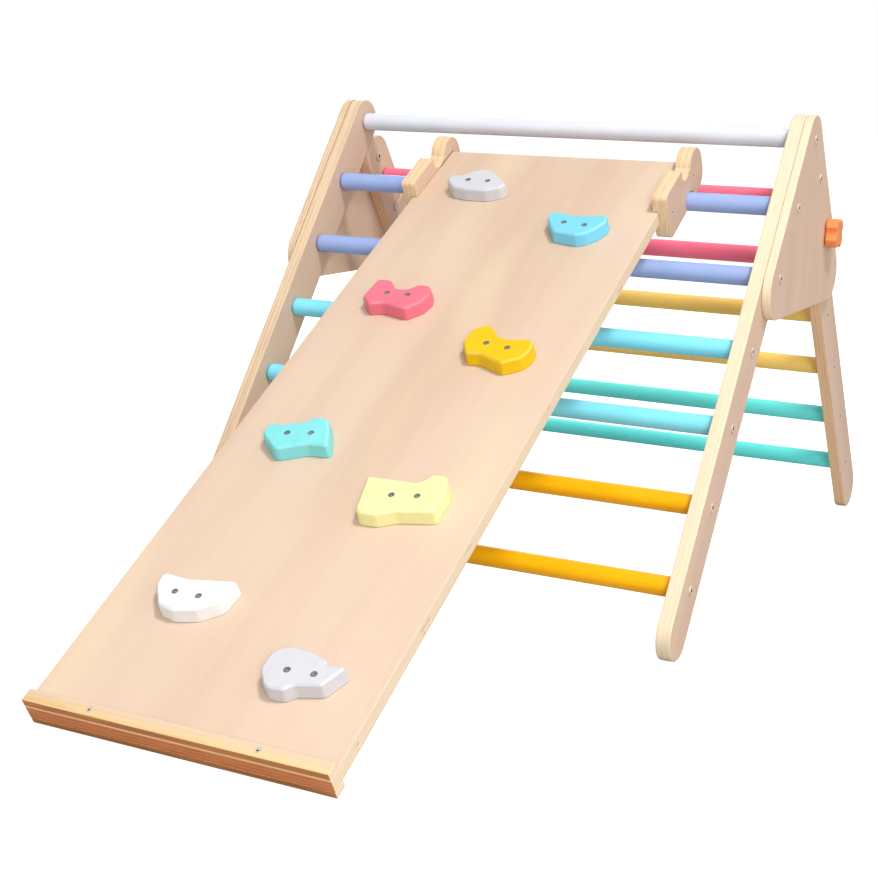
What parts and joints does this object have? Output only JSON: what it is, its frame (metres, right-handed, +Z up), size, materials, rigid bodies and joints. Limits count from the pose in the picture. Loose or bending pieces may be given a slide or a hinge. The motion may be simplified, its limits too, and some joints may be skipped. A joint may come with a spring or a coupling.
{
  "type": "toddler slide",
  "caption": "Folding wooden climbing triangle with painted rungs and a hook-on ramp board carrying climbing holds.",
  "frame": {"origin": "on the floor, below the middle of the whole footprint", "axes": "+X to the right across the rungs, +Y from the ramp's foot to the rear ladder, +Z up"},
  "size_m": [0.8308, 1.6124, 0.699],
  "materials": {
    "birch_plywood": "clear satin lacquer, plies showing on the edges",
    "pine": "clear satin lacquer",
    "steel": "dark zinc plated",
    "knob_plastic": "semi-gloss",
    "paint_grey": "satin paint",
    "paint_periwinkle": "satin paint",
    "paint_sky": "satin paint",
    "paint_amber": "satin paint",
    "paint_red": "satin paint",
    "paint_ochre": "satin paint",
    "paint_teal": "satin paint",
    "hold_grey": "satin paint",
    "hold_white": "satin paint",
    "hold_yellow": "satin paint",
    "hold_turquoise": "satin paint",
    "hold_amber": "satin paint",
    "hold_pink": "satin paint",
    "hold_cyan": "satin paint"
  },
  "bodies": {
    "front_frame": {"front_leg_left": "birch_plywood", "front_leg_right": "birch_plywood", "gusset_left": "birch_plywood", "gusset_right": "birch_plywood", "front_rung_1": "paint_grey", "front_rung_2": "paint_periwinkle", "front_rung_3": "paint_periwinkle", "front_rung_4": "paint_sky", "front_rung_5": "paint_sky", "front_rung_6": "paint_amber", "front_rung_7": "paint_amber", "front_bolts": "steel", "pivot_bolts": "steel"},
    "rear_frame": {"rear_leg_left": "birch_plywood", "rear_leg_right": "birch_plywood", "rear_rung_1": "paint_red", "rear_rung_2": "paint_red", "rear_rung_3": "paint_ochre", "rear_rung_4": "paint_ochre", "rear_rung_5": "paint_teal", "rear_rung_6": "paint_teal", "rear_bolts": "steel"},
    "knob_left": {"knob_left": "knob_plastic", "clamp_stud_left": "steel"},
    "knob_right": {"knob_right": "knob_plastic", "clamp_stud_right": "steel"},
    "ramp": {"ramp_board": "birch_plywood", "ramp_hook_left": "birch_plywood", "ramp_hook_right": "birch_plywood", "ramp_cleat_top": "pine", "ramp_cleat_bottom": "pine", "hold_1": "hold_grey", "hold_2": "hold_white", "hold_3": "hold_yellow", "hold_4": "hold_turquoise", "hold_5": "hold_amber", "hold_6": "hold_pink", "hold_7": "hold_cyan", "hold_8": "hold_grey", "hold_screws": "steel", "hook_screws": "steel", "cleat_screws": "steel"}
  },
  "joints": [
    {"name": "rear_fold", "type": "hinge", "parent": "front_frame", "child": "rear_frame", "pos_m": [0, 0.32005, 0.60591], "axis": [-1, 0, 0], "range_deg": [0, 75]},
    {"name": "knob_left_turn", "type": "hinge", "parent": "front_frame", "child": "knob_left", "pos_m": [-0.4, 0.38758, 0.52034], "axis": [-1, 0, 0], "continuous": true},
    {"name": "knob_right_turn", "type": "hinge", "parent": "front_frame", "child": "knob_right", "pos_m": [0.4, 0.38758, 0.52034], "axis": [1, 0, 0], "continuous": true},
    {"name": "ramp_lift", "type": "slide", "parent": "front_frame", "child": "ramp", "axis": [0, -0.5033, 0.8641], "range_m": [0, 0.08]}
  ]
}
